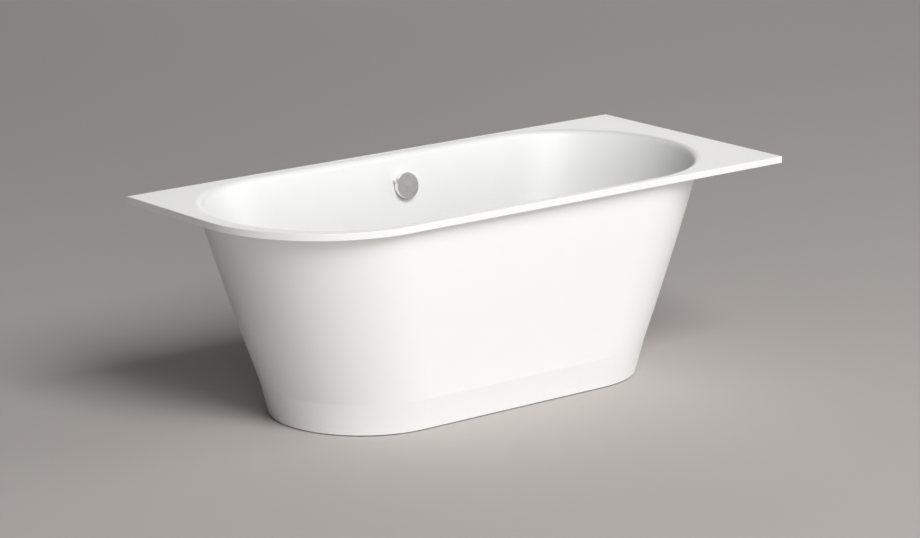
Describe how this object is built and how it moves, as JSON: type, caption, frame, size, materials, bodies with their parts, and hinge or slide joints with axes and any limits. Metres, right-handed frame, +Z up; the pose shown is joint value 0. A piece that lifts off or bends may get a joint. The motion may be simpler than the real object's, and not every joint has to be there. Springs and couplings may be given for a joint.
{
  "type": "built-in bathtub",
  "caption": "Built-in corner bathtub: oval basin in a flat deck with one large rounded corner, tapering oval skirt, knob-operated overflow and drain, framed base on feet.",
  "frame": {"origin": "on the floor below the middle of the deck", "axes": "+X along the long wall to the right, +Y towards the rear wall, +Z up"},
  "size_m": [1.7, 0.75, 0.6],
  "materials": {
    "tub_acrylic": "gloss white sanitary acrylic",
    "skirt_acrylic": "gloss white sanitary acrylic",
    "board_wood": "raw particle board",
    "frame_steel": "galvanised grey",
    "zinc_fasteners": "zinc plated",
    "pad_plastic": "matte black",
    "chrome": "satin chrome",
    "trim_steel": "brushed",
    "rubber": "matte",
    "white_plastic": "satin white polypropylene",
    "grey_plastic": "matte grey",
    "spindle_steel": "stainless",
    "cable_sleeve": "matte black"
  },
  "bodies": {
    "tub": {"apron": "skirt_acrylic", "apron_bracket_front_left": "frame_steel", "apron_bracket_front_right": "frame_steel", "apron_bracket_rear_left": "frame_steel", "apron_bracket_rear_right": "frame_steel", "base_board": "board_wood", "bracket_screws": "zinc_fasteners", "cable_clips": "white_plastic", "cable_gland_lower": "grey_plastic", "cable_gland_upper": "grey_plastic", "cable_sheath": "cable_sleeve", "cup_seal": "rubber", "deck_board": "board_wood", "foot_lock_nuts": "zinc_fasteners", "foot_weld_nuts": "zinc_fasteners", "frame_bolts": "zinc_fasteners", "frame_crossbar_left": "frame_steel", "frame_crossbar_right": "frame_steel", "frame_rail_front": "frame_steel", "frame_rail_rear": "frame_steel", "inlet_cone_seal": "rubber", "inlet_union_nut": "white_plastic", "outlet_elbow": "white_plastic", "outlet_pipe": "white_plastic", "outlet_seal": "rubber", "outlet_union_nut": "white_plastic", "overflow_body": "white_plastic", "overflow_cap": "white_plastic", "overflow_cone_seal": "rubber", "overflow_pipe": "white_plastic", "overflow_seal": "rubber", "overflow_trim": "trim_steel", "overflow_union_nut": "white_plastic", "pipe_clip": "white_plastic", "rail_screws": "zinc_fasteners", "rocker_axle": "spindle_steel", "trap_cup": "white_plastic", "trim_screws": "trim_steel", "tub_shell": "tub_acrylic", "waste_body": "white_plastic", "waste_bottom_seal": "rubber", "waste_flange": "chrome", "waste_top_seal": "rubber"},
    "knob": {"overflow_knob": "chrome", "control_spindle": "spindle_steel", "cable_drum": "grey_plastic"},
    "plug": {"drain_plug": "chrome", "plug_seal": "rubber", "plug_stem": "spindle_steel"},
    "rocker": {"lifter_rocker": "grey_plastic"},
    "upper_wire": {"cable_core_upper": "spindle_steel"},
    "lower_wire": {"cable_core_lower": "spindle_steel"},
    "foot_front_left": {"foot_stud_front_left": "zinc_fasteners", "foot_pad_front_left": "pad_plastic"},
    "foot_front_right": {"foot_stud_front_right": "zinc_fasteners", "foot_pad_front_right": "pad_plastic"},
    "foot_rear_left": {"foot_stud_rear_left": "zinc_fasteners", "foot_pad_rear_left": "pad_plastic"},
    "foot_rear_right": {"foot_stud_rear_right": "zinc_fasteners", "foot_pad_rear_right": "pad_plastic"}
  },
  "joints": [
    {"name": "knob_turn", "type": "hinge", "parent": "tub", "child": "knob", "pos_m": [0.05, 0.3224, 0.508], "axis": [0, 0.9802, -0.1982], "range_deg": [0, 75]},
    {"name": "plug_lift", "type": "slide", "parent": "tub", "child": "plug", "axis": [0, 0, 1], "range_m": [0, 0.0084]},
    {"name": "rocker_tilt", "type": "hinge", "parent": "tub", "child": "rocker", "pos_m": [0.04, 0, 0.104], "axis": [0, -1, 0], "range_deg": [0, 46]},
    {"name": "upper_wire_slide", "type": "slide", "parent": "tub", "child": "upper_wire", "axis": [-1, 0, 0], "range_m": [0, 0.0093]},
    {"name": "lower_wire_slide", "type": "slide", "parent": "tub", "child": "lower_wire", "axis": [1, 0, 0], "range_m": [0, 0.0093]},
    {"name": "foot_front_left_level", "type": "slide", "parent": "tub", "child": "foot_front_left", "axis": [0, 0, -1], "range_m": [0, 0.02]},
    {"name": "foot_front_right_level", "type": "slide", "parent": "tub", "child": "foot_front_right", "axis": [0, 0, -1], "range_m": [0, 0.02]},
    {"name": "foot_rear_left_level", "type": "slide", "parent": "tub", "child": "foot_rear_left", "axis": [0, 0, -1], "range_m": [0, 0.02]},
    {"name": "foot_rear_right_level", "type": "slide", "parent": "tub", "child": "foot_rear_right", "axis": [0, 0, -1], "range_m": [0, 0.02]}
  ],
  "couplings": [
    {"joint": "plug_lift", "follows": "knob_turn", "m_per_rad": 0.006341},
    {"joint": "rocker_tilt", "follows": "knob_turn", "ratio": 0.6},
    {"joint": "upper_wire_slide", "follows": "knob_turn", "m_per_rad": 0.007},
    {"joint": "lower_wire_slide", "follows": "knob_turn", "m_per_rad": 0.007}
  ]
}
